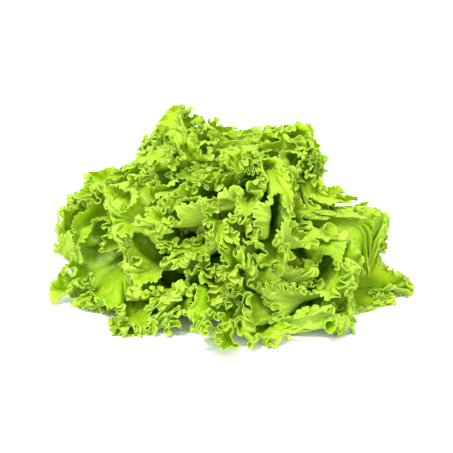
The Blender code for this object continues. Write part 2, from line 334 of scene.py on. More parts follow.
# Painted shade on the upper faces, from the middle of each leaf to its base
PAINTED_SHADE_FADE = (0.50, 0.14)
PAINTED_SHADE_SHARE = 0.90

# Surface of the leaf
BLISTER_SCALE = 210.0
BLISTER_HEIGHT = 0.8
VEIN_HEIGHT = -0.6
LEAF_BUMP = {"Strength": 0.45, "Distance": 0.0010}
ROUGH_SCALE = 120.0
ROUGH_SWING = 0.16
ROUGH_LEAST = 0.30
LEAF_SPECULAR = 0.20
TRANSLUCENCE = 0.46

# Surface of the stem
CUT_FADE = (0.0004, 0.0014)
RING_SPACING = 0.0022
RING_BEND = 0.0016
RING_BEND_SCALE = 160.0
RING_FADE = (0.0002, 0.0014)
RING_SHARE = 0.5
RING_HEIGHT = 0.4
SKIN_SCALE = 90.0
SKIN_DETAIL = 3.0
STAIN_SCALE = 55.0
STAIN_DETAIL = 4.0
STAIN_FADE = (0.60, 0.48)
STAIN_SHARE = 0.35
GRAIN_SCALE = 400.0
GRAIN_DETAIL = 3.0
STEM_BUMP = {"Strength": 0.4, "Distance": 0.0005}
STEM_ROUGHNESS = 0.42

# Camera and floor
LENS = 85.0
SENSOR = 36.0
CAMERA_ELEVATION = math.radians(20.0)
FRAME_WIDTH = 0.389
AIM_SHIFT = Vector((-0.0038, 0.0, -0.004))
FLOOR_SIZE = 12.0
FLOOR_DROP = -0.0003
FLOOR_COLOUR = (0.82, 0.82, 0.82, 1.0)
FLOOR_ROUGHNESS = 0.7

# Light
WORLD_COLOUR = (1.0, 1.0, 1.0, 1.0)
WORLD_STRENGTH = 2.00
SUN_FROM = Vector((-0.34, -0.50, 1.0))
SUN_STRENGTH = 5.1
SUN_ANGLE = math.radians(14.0)
FRONT_LIGHT_FROM = Vector((0.35, -1.30, 0.55))
FRONT_LIGHT_AIM = Vector((0.0, 0.0, 0.08))
FRONT_LIGHT_SIZE = 0.90
FRONT_LIGHT_POWER = 9.0


def ease(x):
    """Smooth step from 0 to 1."""
    x = np.clip(x, 0.0, 1.0)
    return x * x * (3.0 - 2.0 * x)


def reach(azimuth):
    """Distance of the outer leaf tips from the axis, smoothed between the entries of REACH."""
    degrees = (np.degrees(azimuth) + 180.0) % 360.0 - 180.0
    angles = np.array([row[0] for row in REACH], dtype=float)
    sizes = np.array([row[1] for row in REACH])
    angles = np.concatenate([angles - 360.0, angles, angles + 360.0])
    sizes = np.tile(sizes, 3)
    total = 0.0
    for offset, share in REACH_BLUR:
        total = total + share * np.interp(degrees + offset, angles, sizes)
    return total


def cubic(t, first, second, third, last):
    """Point at t on a smooth curve from first to last, led by the two between them."""
    back = 1.0 - t
    start = back ** 3 * first + 3.0 * back ** 2 * t * second
    return start + 3.0 * back * t ** 2 * third + t ** 3 * last


def profile(depth, along, azimuth):
    """Radius and height on the surface that holds a leaf; depth is 0 outermost and 1 at the heart."""
    radius = STEM_BASE_RADIUS - (STEM_BASE_RADIUS - STEM_TIP_RADIUS) * depth
    height = FIRST_ROOT + (LAST_ROOT - FIRST_ROOT) * depth
    tip_radius = (1.0 - DRAW_IN * depth - DRAW_IN_FASTER * depth * np.abs(depth)) * reach(azimuth)
    chord = (CHORD_MEAN - CHORD_SWING * np.sin(azimuth)) * (1.0 - CHORD_DROP * depth)
    rise = np.sqrt(np.maximum(chord ** 2 - tip_radius ** 2, LEAST_RISE ** 2))
    tip_height = RISE_WITH_ROOT * height + rise
    lean = np.arctan2(tip_radius - radius, tip_height - height)
    size = np.hypot(tip_radius - radius, tip_height - height)
    start = START_SHARE * lean + START_LEAN * (1.0 - depth)
    end = lean + TIP_BEND * (1.0 - TIP_BEND_LOSS * depth)
    end = end + TIP_BEND_SWING * np.sin(SWINGS_AROUND * azimuth + SWINGS_INWARD * depth)
    near_radius = radius + HANDLE * size * np.sin(start)
    near_height = height + HANDLE * size * np.cos(start)
    far_radius = tip_radius - HANDLE * size * np.sin(end)
    far_height = tip_height - HANDLE * size * np.cos(end)
    r = cubic(along, radius, near_radius, far_radius, tip_radius)
    a = cubic(along, height, near_height, far_height, tip_height)
    return r, a


def shared_waves():
    rng = np.random.default_rng(FLOW_SEED)
    waves = []
    for _ in range(FLOW_WAVES):
        direction = rng.normal(size=3)
        direction /= np.linalg.norm(direction)
        length = rng.uniform(*FLOW_LENGTHS)
        push = rng.normal(size=3)
        push -= push @ direction * direction
        push /= np.linalg.norm(push)
        waves.append((2.0 * math.pi / length * direction, push, rng.uniform(0.0, 2.0 * math.pi)))
    return waves


WAVES = shared_waves()


def flow(points):
    """Smooth bends of all space away from the stem."""
    for _ in range(FLOW_STEPS):
        distance = np.linalg.norm(points - np.array(STILL_CENTRE), axis=-1)
        free = ease((distance - STILL_RADIUS) / FLOW_EASE)
        move = np.zeros_like(points)
        for vector, push, phase in WAVES:
            move += np.sin(points @ vector + phase)[..., None] * push
        points = points + move * free[..., None] * FLOW_AMOUNT / FLOW_STEPS
    return points


def settle(points):
    """What would pass below the ground lies flat on it."""
    z = points[..., 2]
    low = GROUND_SOFTNESS * np.exp(np.minimum(z - GROUND_SOFTNESS, 0.0) / GROUND_SOFTNESS)
    z = np.where(z < GROUND_SOFTNESS, low, z) - GROUND_SINK
    settled = points.copy()
    settled[..., 2] = np.maximum(z, SOLID_BLADE / 2.0)
    return settled


def to_head(r, a, azimuth):
    """Point at this radius and azimuth round the axis, and this far along it."""
    side = r * np.cos(azimuth)
    up = r * np.sin(azimuth)
    sine = math.sin(AXIS_LEAN)
    cosine = math.cos(AXIS_LEAN)
    return np.stack([side, up * sine - a * cosine, BASE_HEIGHT + a * sine + up * cosine], axis=-1)


def place(depth, along, azimuth):
    """Point of the head on the surface at this depth."""
    r, a = profile(depth, along, azimuth)
    return settle(flow(to_head(r, a, azimuth)))


def make_leaf(index, rng):
    depth = index / (LEAF_COUNT - 1)
    length = OUTER_LENGTH - LENGTH_DROP * depth ** LENGTH_CURVE
    width = (OUTER_WIDTH - WIDTH_DROP * depth ** WIDTH_CURVE) * rng.uniform(*WIDTH_RANGE)
    leaf = {
        "depth": depth,
        "azimuth": FIRST_AZIMUTH + index * SPIRAL_STEP + rng.uniform(*TURN_RANGE),
        "length": length,
        "width": width,
        "extent": rng.uniform(*EXTENT_RANGE),
        "seed": int(rng.integers(SEED_RANGE)),
    }
    step = 0.5 - 0.5 * np.cos(math.pi * np.linspace(0.0, 1.0, OUTLINE_STEPS))
    x = half_width(leaf, step)
    y = step * length
    run = np.concatenate([[0.0], np.cumsum(np.hypot(np.diff(x), np.diff(y)))])
    leaf["half"] = run[-1]
    leaf["edge"] = (run[-1] - run[::-1], x[::-1], y[::-1])
    return leaf


def half_width(leaf, step):
    """Half the leaf's width: a stalk that clasps the stem, then a blade widest near its end."""
    radius = STEM_BASE_RADIUS - (STEM_BASE_RADIUS - STEM_TIP_RADIUS) * leaf["depth"]
    closing = np.sqrt(np.clip(1.0 - step ** STALK_END, 0.0, 1.0))
    stalk = (STALK_CLASP * radius + STALK_FLARE * step) * closing
    u = np.clip((step - STALK_SHARE) / (1.0 - STALK_SHARE), 0.0, 1.0)
    tip = np.sqrt(np.clip(1.0 - u ** BLADE_END, 0.0, 1.0))
    blade = BLADE_SHAPE * leaf["width"] * u ** BLADE_START * tip
    return np.sqrt(stalk ** 2 + blade ** 2)


def edge_point(leaf, run):
    """Margin point at this distance along the margin from the tip, and its foot on the rib."""
    distance, edge_x, edge_y = leaf["edge"]
    x = np.interp(np.abs(run), distance, edge_x)
    y = np.interp(np.abs(run), distance, edge_y)
    return np.sign(run) * x, y, y * y / (RIB_SPREAD * y + RIB_FAN * x)


def flat_point(leaf, run, across, foot):
    """Flat leaf: across goes from the foot on the rib to the margin."""
    x, y, _ = edge_point(leaf, run)
    return x * across, foot + (y - foot) * across


def turn_radius(leaf, along):
    """Radius round which the flat leaf is bent at this place along its profile."""
    azimuth = np.full_like(along, leaf["azimuth"])
    r, _ = profile(leaf["depth"], np.clip(along, 0.0, 1.0), azimuth)
    return np.maximum(r, TIGHTEST_TURN + TIGHTER_BY * leaf["depth"])


def on_family(leaf, x, y):
    """Fraction along the profile and azimuth of a flat point."""
    along = y / leaf["length"] * leaf["extent"]
    return along, leaf["azimuth"] + x / turn_radius(leaf, along)


def presence(other, along, azimuth):
    """1 where the other leaf covers this part of the family, falling to 0 outside its margin."""
    y = along / other["extent"] * other["length"]
    turn = (azimuth - other["azimuth"] + math.pi) % (2.0 * math.pi) - math.pi
    x = np.abs(turn) * turn_radius(other, along)
    inside = half_width(other, np.clip(y / other["length"], 0.0, 1.0)) - x
    inside = np.minimum(inside, other["length"] - y)
    return ease((inside + NEIGHBOUR_FADE) / NEIGHBOUR_FADE)


def room(leaf, leaves, along, azimuth):
    """How far this leaf may move out and in, as changes of depth."""
    outward = np.full(along.shape, FREE_ROOM)
    inward = np.full(along.shape, FREE_ROOM)
    for other in leaves:
        half_step = 0.5 * (other["depth"] - leaf["depth"])
        if half_step == 0.0:
            continue
        share = FRILL_LIMIT * abs(half_step)
        free = share + (1.0 - presence(other, along, azimuth)) * FREE_ROOM
        if half_step > 0.0:
            inward = np.minimum(inward, free)
        else:
            outward = np.minimum(outward, free)
    return outward, inward


def wobble(rng, x, scale):
    """Smooth noise along x, about 1 in size."""
    total = 0.0
    for _ in range(NOISE_WAVES):
        rate = rng.uniform(*NOISE_RATES) * 2.0 * math.pi / (NOISE_LENGTH * scale)
        total = total + np.sin(x * rate + rng.uniform(0.0, 2.0 * math.pi))
    return total / math.sqrt(NOISE_WAVES)


def blade_share(leaf, run):
    """1 along the margin of the blade and 0 along the stalk."""
    return 1.0 - ease((np.abs(run) / leaf["half"] - STALK_SMOOTH) / STALK_EASE)


class Frill:
    """The waves of one leaf's margin, as functions of the distance along it from the tip."""

    def __init__(self, leaf, space):
        rng = np.random.default_rng(leaf["seed"])
        self.leaf = leaf
        self.space = space
        self.fine = np.linspace(-leaf["half"], leaf["half"], MARGIN_SAMPLES)
        self.blade = blade_share(leaf, self.fine)
        self.set_large(rng)
        self.set_finer(rng)
        self.set_margin(rng)
        self.crumple_seed = int(rng.integers(SEED_RANGE))

    def set_large(self, rng):
        """The large waves, and how far one travels over them along the margin."""
        step = self.fine[1] - self.fine[0]
        uneven = 1.0 + FRILL_WAVE_UNEVEN * wobble(rng, self.fine, FRILL_WAVE_SPAN)
        self.large_phase = np.cumsum(2.0 * math.pi / FRILL_WAVE * uneven) * step
        uneven = 1.0 + FRILL_HEIGHT_UNEVEN * wobble(rng, self.fine, FRILL_HEIGHT_SPAN)
        self.large_size = FRILL_HEIGHT * uneven
        _, _, foot = edge_point(self.leaf, self.fine)
        margin = large_sheet(self, self.fine, np.ones_like(self.fine), foot)
        pieces = np.linalg.norm(np.diff(margin, axis=0), axis=1)
        self.travelled = np.concatenate([[0.0], np.cumsum(pieces)])

    def set_finer(self, rng):
        """Phases and sizes of the finer waves, which are lower on calm stretches."""
        start = CALM_START + CALM_BELOW * max(0.0, -math.sin(self.leaf["azimuth"]))
        calm = ease((wobble(rng, self.travelled, CALM_LENGTH) - start) / CALM_RISE)
        calm = np.maximum(calm, HEART_CALM * self.leaf["depth"])
        self.phases = []
        self.sizes = []
        along = self.travelled
        for wave in FINER:
            length = wave["wave"]
            phase = 2.0 * math.pi * along / length
            self.phases.append(phase + PHASE_WOBBLE * wobble(rng, along, PHASE_SPAN * length))
            uneven = 1.0 + wave["uneven"] * wobble(rng, along, SIZE_SPAN * length)
            self.sizes.append(uneven * (1.0 - CALM * calm))
            along = along * STRETCH

    def set_margin(self, rng):
        """Lobes and teeth."""
        self.lobes = wobble(rng, self.travelled, LOBE_LENGTH)
        phase = math.pi * self.travelled / TOOTH_WAVE
        phase = phase + TOOTH_WOBBLE * wobble(rng, self.travelled, TOOTH_SPAN * TOOTH_WAVE)
        uneven = 1.0 + TOOTH_UNEVEN * wobble(rng, self.travelled, TOOTH_WAVE)
        self.teeth = (TOOTH_LEVEL - np.abs(np.sin(phase))) * uneven

    def at(self, values, run):
        return np.interp(run, self.fine, values)

    def columns(self, count):
        """Places spaced evenly over the large waves of the margin, wider apart on the stalk."""
        pieces = np.diff(self.travelled) * (STALK_DENSITY + (1.0 - STALK_DENSITY) * self.blade[1:])
        total = np.concatenate([[0.0], np.cumsum(pieces)])
        return np.interp(np.linspace(0.0, total[-1], count), total, self.fine)


def on_grid(values, half, run, across):
    """Bilinear reading of values laid out evenly over the run and across the leaf."""
    columns, rows = values.shape
    u = np.clip((run + half) / (2.0 * half), 0.0, 1.0) * (columns - 1)
    v = np.clip(across, 0.0, 1.0) * (rows - 1)
    i = np.minimum(u.astype(int), columns - 2)
    j = np.minimum(v.astype(int), rows - 2)
    u = u - i
    v = v - j
    low = values[i, j] * (1.0 - u) + values[i + 1, j] * u
    high = values[i, j + 1] * (1.0 - u) + values[i + 1, j + 1] * u
    return low * (1.0 - v) + high * v


def free_space(leaf, leaves):
    """Grids of metres per depth and of the room outward and inward, over the whole leaf."""
    run = np.linspace(-leaf["half"], leaf["half"], SPACE_COLUMNS)
    run = np.repeat(run[:, None], SPACE_ROWS, axis=1)
    across = np.repeat(np.linspace(0.0, 1.0, SPACE_ROWS)[None, :], SPACE_COLUMNS, axis=0)
    _, _, foot = edge_point(leaf, run)
    x, y = flat_point(leaf, run, across, foot)
    along, azimuth = on_family(leaf, x, y)
    depth = np.full(along.shape, leaf["depth"])
    here = place(depth, along, azimuth)
    inner = place(depth + DEPTH_STEP, along, azimuth)
    spread = np.maximum(np.linalg.norm(inner - here, axis=-1) / DEPTH_STEP, LEAST_SPREAD)
    return (spread, *room(leaf, leaves, along, azimuth))


def large_move(frill, run, across):
    """Change of depth that the large frill makes, the metres per depth, and the room out and in."""
    leaf = frill.leaf
    spread, outward, inward = (on_grid(part, leaf["half"], run, across) for part in frill.space)
    size = frill.at(frill.large_size, run) * blade_share(leaf, run)
    wave = np.sin(frill.at(frill.large_phase, run))
    move = size * np.clip(across, 0.0, FURTHEST_ACROSS) ** FRILL_ROOT * wave / spread
    move = np.where(move > 0.0, inward * np.tanh(move / inward), outward * np.tanh(move / outward))
    return move, spread, outward, inward


def large_sheet(frill, run, across, foot):
    """Middle surface with the large frill only."""
    leaf = frill.leaf
    shift = blade_share(leaf, run) * across ** OVERHANG_ROOT
    folded = run - OVERHANG * shift * np.sin(2.0 * frill.at(frill.large_phase, run))
    x, y = flat_point(leaf, folded, across, foot)
    along, azimuth = on_family(leaf, x, y)
    move = large_move(frill, run, across)[0]
    return place(leaf["depth"] + move, along, azimuth)


def within_room(frill, run, across, out):
    """Height of the finer frills, held lower where a neighbouring leaf is close."""
    move, spread, outward, inward = large_move(frill, run, across)
    free_out = np.maximum(spread * (FINE_ROOM * outward + np.minimum(move, 0.0)), LEAST_FREE)
    free_in = np.maximum(spread * (FINE_ROOM * inward - np.maximum(move, 0.0)), LEAST_FREE)
    return np.where(out > 0.0, free_out * np.tanh(out / free_out), free_in * np.tanh(out / free_in))


def unit(vectors):
    return vectors / np.maximum(np.linalg.norm(vectors, axis=-1, keepdims=True), LEAST_LENGTH)


def fine_waves(frill, run, inset):
    """Offsets along the margin and out of the sheet that the finer frill makes."""
    blade = blade_share(frill.leaf, run)
    aside = np.zeros_like(run)
    out = np.zeros_like(run)
    turn = np.zeros_like(run)
    for wave, phases, sizes in zip(FINER, frill.phases, frill.sizes):
        size = blade * frill.at(sizes, run) * np.exp(-(inset / wave["depth"]) ** FINE_FADE)
        phase = frill.at(phases, run)
        across = -wave["overhang"] * size ** 2 * np.sin(2.0 * phase)
        up = wave["height"] * size * np.sin(phase)
        aside += across * np.cos(turn) - up * np.sin(turn)
        out += across * np.sin(turn) + up * np.cos(turn)
        turn += wave["tilt"] * np.clip(size, 0.0, MOST_TILT) * np.cos(phase)
    return aside, out


def crumple(frill, x, y):
    """Soft unevenness of the blade, in metres."""
    rng = np.random.default_rng(frill.crumple_seed)
    total = np.zeros_like(x)
    for length in CRUMPLE_LENGTHS:
        angle = rng.uniform(0.0, 2.0 * math.pi)
        offset = rng.uniform(0.0, 2.0 * math.pi)
        distance = x * math.cos(angle) + y * math.sin(angle)
        total += np.sin(2.0 * math.pi / length * distance + offset) * length
    return CRUMPLE_SLOPE * total


def leaf_columns(frill):
    """A count that can be halved four times and stays odd, so that one column runs to the tip."""
    blocks = round(COLUMNS_PER_METRE * frill.travelled[-1] / COLUMN_BLOCK)
    return COLUMN_BLOCK * max(LEAST_BLOCKS, blocks) + 1


def row_plan():
    """Share of the way from rib to margin of each row, and the stride between its columns."""
    plan = []
    for stride, rows in ROWS_BY_STRIDE:
        plan += [(1.0 - inset / FULL_RAY, stride) for inset in rows]
    return plan


def travelled_out(inset, aside, out):
    """How far out each row gets: less than its inset says where the frills climb."""
    step = -np.diff(inset, axis=1)
    climb = np.hypot(np.diff(aside, axis=1), np.diff(out, axis=1))
    outward = np.sqrt(np.maximum(step ** 2 - climb ** 2, (LEAST_STEP * step) ** 2))
    return np.concatenate([np.zeros((len(inset), 1)), np.cumsum(outward, axis=1)], axis=1)


def lobes_and_teeth(frill, run, across, inset):
    """How far lobes and teeth take the margin out."""
    blade = blade_share(frill.leaf, run)
    lobes = LOBE_SIZE * frill.at(frill.lobes, run) * blade * across ** LOBE_ROOT
    teeth = TOOTH_SIZE * frill.at(frill.teeth, run) * np.exp(-inset / TOOTH_DEPTH)
    return lobes, teeth * blade


def sheet_directions(frill, run, across, foot):
    """Unit vectors along the margin and out of the sheet."""
    ahead = large_sheet(frill, run + RUN_NUDGE, across, foot)
    behind = large_sheet(frill, run - RUN_NUDGE, across, foot)
    tangent = unit(ahead - behind)
    outer = large_sheet(frill, run, across + ACROSS_NUDGE, foot)
    inner = large_sheet(frill, run, across - ACROSS_NUDGE, foot)
    return tangent, unit(np.cross(tangent, outer - inner))


def soft_unevenness(frill, x, y, inset, spread):
    """The crumple, kept within the room between two leaves and off the rib and the margin."""
    most = CRUMPLE_ROOM * spread / (LEAF_COUNT - 1)
    soft = most * np.tanh(crumple(frill, x, y) / most)
    return soft * ease(np.abs(x) / CRUMPLE_FROM_RIB) * ease(inset / CRUMPLE_FROM_EDGE)


def leaf_sheet(frill):
    """Middle surface with every frill as a full grid, with flat places, runs and insets."""
    leaf = frill.leaf
    plan = row_plan()
    count = leaf_columns(frill)
    run = frill.columns(count)
    edge_x, edge_y, foot = edge_point(leaf, run)
    foot = 0.5 * (foot + foot[::-1])
    ray = np.hypot(edge_x, edge_y - foot)
    across = np.repeat(np.array([row[0] for row in plan])[None, :], count, axis=0)
    run = np.repeat(run[:, None], len(plan), axis=1)
    foot = np.repeat(foot[:, None], len(plan), axis=1)
    inset = ray[:, None] * (1.0 - across)
    aside, out = fine_waves(frill, run, inset)
    lobes, teeth = lobes_and_teeth(frill, run, across, inset)
    pulled = (travelled_out(inset, aside, out) + lobes + teeth) / ray[:, None]
    points = large_sheet(frill, run, pulled, foot)
    tangent, normal = sheet_directions(frill, run, pulled, foot)
    x, y = flat_point(leaf, run, pulled, foot)
    out = within_room(frill, run, pulled, out)
    spread = on_grid(frill.space[0], leaf["half"], run, pulled)
    soft = soft_unevenness(frill, x, y, inset, spread)
    points = points + tangent * aside[..., None] + normal * (out + soft)[..., None]
    return points, {"x": x, "y": y, "run": run, "inset": inset}


def weave(columns, plan):
    """Grid places kept by each row, with the two halves joined at the rib, and the triangles."""
    number = np.full((columns, len(plan)), -1)
    kept = []
    for j, (_, stride) in enumerate(plan):
        for i in range(0, columns, stride):
            mirror = columns - 1 - i
            if j == 0 and mirror < i:
                number[i, j] = number[mirror, j]
                continue
            number[i, j] = len(kept)
            kept.append((i, j))
    faces = []
    for j in range(len(plan) - 1):
        near = plan[j][1]
        far = plan[j + 1][1]
        for i in range(0, columns - 1, near):
            a, b = number[i, j], number[i + near, j]
            c, d = number[i + near, j + 1], number[i, j + 1]
            if near == far:
                faces += [(a, b, c), (a, c, d)]
                continue
            middle = number[i + far, j + 1]
            faces += [(a, b, middle), (a, middle, d), (b, c, middle)]
    return np.array(kept), np.array(faces)


def thicken(vertices, triangles, thickness):
    """Closed solid round a sheet: both faces split alike, joined by a rim."""
    corners = vertices[triangles]
    facing = np.cross(corners[:, 1] - corners[:, 0], corners[:, 2] - corners[:, 0])
    normals = np.zeros_like(vertices)
    for column in range(3):
        np.add.at(normals, triangles[:, column], facing)
    normals = unit(normals)
    upper = vertices + normals * thickness[:, None] / 2.0
    lower = vertices - normals * thickness[:, None] / 2.0
    count = len(vertices)
    edges = np.concatenate([triangles[:, [0, 1]], triangles[:, [1, 2]], triangles[:, [2, 0]]])
    forward = edges[:, 0] * count + edges[:, 1]
    backward = edges[:, 1] * count + edges[:, 0]
    border = edges[~np.isin(forward, backward)]
    a = border[:, 0]
    b = border[:, 1]
    rim = np.concatenate([np.stack([b, a, a + count], 1), np.stack([b, a + count, b + count], 1)])
    under = triangles[:, [0, 2, 1]] + count
    return np.concatenate([upper, lower]), np.concatenate([triangles, under, rim])


def keep_above(vertices, node):
    """Near the ground the fine leaf stays on top of its own solid's underside."""
    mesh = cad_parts[node].data
    mesh.calc_loop_triangles()
    corners = [tuple(v.co) for v in mesh.vertices]
    tree = BVHTree.FromPolygons(corners, [tuple(t.vertices) for t in mesh.loop_triangles])
    gap = FINE_BLADE / 2.0
    for index in np.nonzero(vertices[:, 2] < GROUND_ZONE)[0]:
        x, y, z = vertices[index]
        hit = tree.ray_cast(Vector((x, y, BELOW_GROUND)), Vector((0.0, 0.0, 1.0)))[0]
        floor = gap
        if hit is not None and hit.z < GROUND_ZONE:
            floor = max(floor, hit.z + gap)
        vertices[index, 2] = max(z, floor)


def add_values(mesh, name, values):
    layer = mesh.attributes.new(name, "FLOAT", "POINT")
    layer.data.foreach_set("value", values.astype(np.float32))


def add_map(mesh, name, u, v):
    layer = mesh.uv_layers.new(name=name)
    loops = np.empty(len(mesh.loops), dtype=np.int32)
    mesh.loops.foreach_get("vertex_index", loops)
    pairs = np.stack([u[loops], v[loops]], axis=1).astype(np.float32)
    layer.data.foreach_set("uv", pairs.ravel())


def add_object(name, data):
    thing = bpy.data.objects.new(name, data)
    bpy.context.scene.collection.objects.link(thing)
    return thing


def make_piece(name, vertices, faces, material, node):
    mesh = bpy.data.meshes.new(name)
    mesh.from_pydata(vertices.tolist(), [], faces.tolist())
    mesh.shade_smooth()
    mesh.materials.append(material)
    piece = add_object(name, mesh)
    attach(piece, "root")
    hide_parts(node)
    return mesh


def make_leaf_piece(index, leaf, leaves, shift, material):
    node = f"leaf_{index + 1:02d}"
    frill = Frill(leaf, free_space(leaf, leaves))
    points, places = leaf_sheet(frill)
    kept, triangles = weave(len(points), row_plan())
    vertices = points[kept[:, 0], kept[:, 1]] - shift
    places = {key: values[kept[:, 0], kept[:, 1]] for key, values in places.items()}
    keep_above(vertices, node)
    x = places["x"]
    taper = np.clip(1.0 - places["y"] / leaf["length"], 0.0, 1.0)
    rib_width = RIB_WIDTH * (RIB_TIP_WIDTH + taper)
    rib = FINE_RIB * taper ** RIB_TAPER * np.exp(-(x / rib_width) ** 2)
    edge = THIN_EDGE + (1.0 - THIN_EDGE) * ease(places["inset"] / EDGE_EASE)
    wall = FINE_BLADE * edge + rib
    solid, faces = thicken(vertices, triangles, wall)
    solid[:, 2] = np.maximum(solid[:, 2], 0.0)
    mesh = make_piece(node + "_frilled", solid, faces, material, node)
    add_map(mesh, "flat", np.tile(x, 2), np.tile(places["y"], 2))
    add_map(mesh, "fan", np.tile(places["run"], 2), np.tile(places["inset"], 2))
    add_values(mesh, "from_rib", np.tile(np.abs(x), 2))
    add_values(mesh, "taper", np.tile(taper, 2))
    add_values(mesh, "underside", np.repeat([1.0, 0.0], len(vertices)))
    add_values(mesh, "heart", np.full(2 * len(vertices), leaf["depth"]))


def stem_shift():
    """How far the solids were moved to stand the head on its origin, read from the stem's box."""
    angles = np.arange(STEM_SIDES) * 2.0 * math.pi / STEM_SIDES
    collar = to_head(STEM_BASE_RADIUS - STEM_INSET, STEM_CHAMFER, angles)
    low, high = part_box("stem")
    return np.array([collar[:, 0].min() - low[0], collar[:, 1].max() - high[1], 0.0])


def stem_profile():
    """Radius and height of each ring of the stem, from the middle of its cut face to its tip."""
    base = STEM_BASE_RADIUS - STEM_INSET
    tip = STEM_TIP_RADIUS - STEM_INSET
    points = []
    for share in CUT_RINGS:
        points.append((base * share, CUT_DISH * (1.0 - share ** 2) ** 2))
    for k in range(CHAMFER_STEPS + 1):
        angle = math.pi / 2.0 * k / CHAMFER_STEPS
        radius = base - STEM_CHAMFER * (1.0 - math.sin(angle))
        points.append((radius, STEM_CHAMFER * (1.0 - math.cos(angle))))
    for k in range(1, CORE_STEPS + 1):
        share = k / CORE_STEPS
        height = STEM_COLLAR + (STEM_LENGTH - STEM_COLLAR) * share
        points.append((base + (tip - base) * share, height))
    return points


def stem_ring(radius, height):
    """One slightly uneven ring of points round the stem."""
    angles = np.arange(CORE_COLUMNS) * 2.0 * math.pi / CORE_COLUMNS
    waves = sum(size * np.sin(count * angles + phase) for size, count, phase in CORE_WAVES)
    return to_head(radius * (1.0 + CORE_RIPPLE * waves), height, angles)


def join_rings(rings):
    """Triangles between the rings of the stem, and from either end ring to its middle point."""
    faces = []
    last = (rings - 1) * CORE_COLUMNS
    for low in range(0, last, CORE_COLUMNS):
        high = low + CORE_COLUMNS
        for k in range(CORE_COLUMNS):
            after = (k + 1) % CORE_COLUMNS
            faces += [(low + k, low + after, high + after), (low + k, high + after, high + k)]
    middle = rings * CORE_COLUMNS
    for k in range(CORE_COLUMNS):
        after = (k + 1) % CORE_COLUMNS
        faces += [(middle, after, k), (middle + 1, last + k, last + after)]
    return np.array(faces)


def make_stem(shift, material):
    """Tapered core with a softly rounded cut rim, rings on the cut face and a domed tip."""
    profile_points = stem_profile()
    rings = [stem_ring(radius, height) for radius, height in profile_points]
    middles = [to_head(0.0, height, 0.0)[None, :] for height in (CUT_DISH, STEM_LENGTH + STEM_DOME)]
    vertices = np.concatenate(rings + middles) - shift - np.array([0.0, 0.0, GROUND_SINK])
    vertices[:, 2] = np.maximum(vertices[:, 2], 0.0)
    mesh = make_piece("stem_core", vertices, join_rings(len(rings)), material, "stem")
    radii = np.repeat([point[0] for point in profile_points], CORE_COLUMNS)
    heights = np.repeat([point[1] for point in profile_points], CORE_COLUMNS)
    radii = np.concatenate([radii, [0.0, 0.0]])
    heights = np.concatenate([heights, [0.0, STEM_LENGTH]])
    add_map(mesh, "lathe", radii, heights)


class Nodes:
    """Small helper that builds shader nodes and links them."""

    def __init__(self, material):
        material.use_nodes = True
        self.tree = material.node_tree
        self.tree.nodes.clear()

    def put(self, kind, inputs=None, **settings):
        node = self.tree.nodes.new(kind)
        for name, value in settings.items():
            setattr(node, name, value)
        for key, value in (inputs or {}).items():
            if isinstance(value, bpy.types.NodeSocket):
                self.tree.links.new(value, node.inputs[key])
            else:
                node.inputs[key].default_value = value
        return node

    def value(self, name):
        return self.put("ShaderNodeAttribute", attribute_name=name).outputs["Fac"]

    def place(self, name):
        return self.put("ShaderNodeUVMap", uv_map=name).outputs["UV"]

    def math(self, operation, first, second=0.0, third=0.0):
        inputs = {0: first, 1: second, 2: third}
        return self.put("ShaderNodeMath", inputs, operation=operation).outputs[0]

    def times(self, first, second):
        return self.math("MULTIPLY", first, second)

    def times_plus(self, value, factor, more):
        return self.math("MULTIPLY_ADD", value, factor, more)

    def fade(self, value, full, gone):
        """1 at full, falling to 0 at gone."""
        inputs = {"Value": value, "From Min": full, "From Max": gone, "To Min": 1.0, "To Max": 0.0}
        return self.put("ShaderNodeMapRange", inputs, interpolation_type="SMOOTHSTEP").outputs[0]

    def blend(self, share, first, second, blend_type="MIX"):
        """Mix of two colours. Socket 0 of the node is the share, 6 and 7 are the colours."""
        inputs = {0: share, 6: first, 7: second}
        node = self.put("ShaderNodeMix", inputs, data_type="RGBA", blend_type=blend_type)
        return node.outputs[2]

    def bump(self, height, settings):
        return self.put("ShaderNodeBump", {"Height": height, **settings}).outputs[0]

    def noise(self, vector, scale, detail=2.0, roughness=0.5):
        inputs = {"Vector": vector, "Scale": scale, "Detail": detail, "Roughness": roughness}
        return self.put("ShaderNodeTexNoise", inputs).outputs["Fac"]


def vein_pattern(n, flat, run, inset):
    """Strength of the veins: a strong rib, side veins that fan out to the margin, and a fine net."""
    from_rib = n.value("from_rib")
    bend = n.times_plus(n.noise(flat, VEIN_BEND_SCALE), VEIN_BEND, run)
    side = n.fade(n.math("PINGPONG", bend, VEIN_SPACING / 2.0), *VEIN_LINE)
    side = n.times(side, n.fade(from_rib, *VEIN_REACH))
    bend = n.times_plus(n.noise(flat, BRANCH_BEND_SCALE), BRANCH_BEND, run)
    branch = n.math("PINGPONG", bend, VEIN_SPACING / (2.0 * BRANCHES_PER_VEIN))
    branch = n.times(n.fade(branch, *BRANCH_LINE), n.fade(inset, *BRANCH_REACH))
    cells = {"Vector": flat, "Scale": NET_SCALE}
    net = n.put("ShaderNodeTexVoronoi", cells, feature="DISTANCE_TO_EDGE")
    net = n.fade(net.outputs["Distance"], *NET_LINE)
    rib = n.times(n.fade(from_rib, *RIB_LINE), n.value("taper"))
    total = n.times_plus(branch, BRANCH_STRENGTH, side)
    total = n.times_plus(net, NET_STRENGTH, total)
    return n.times_plus(rib, RIB_STRENGTH, total), rib


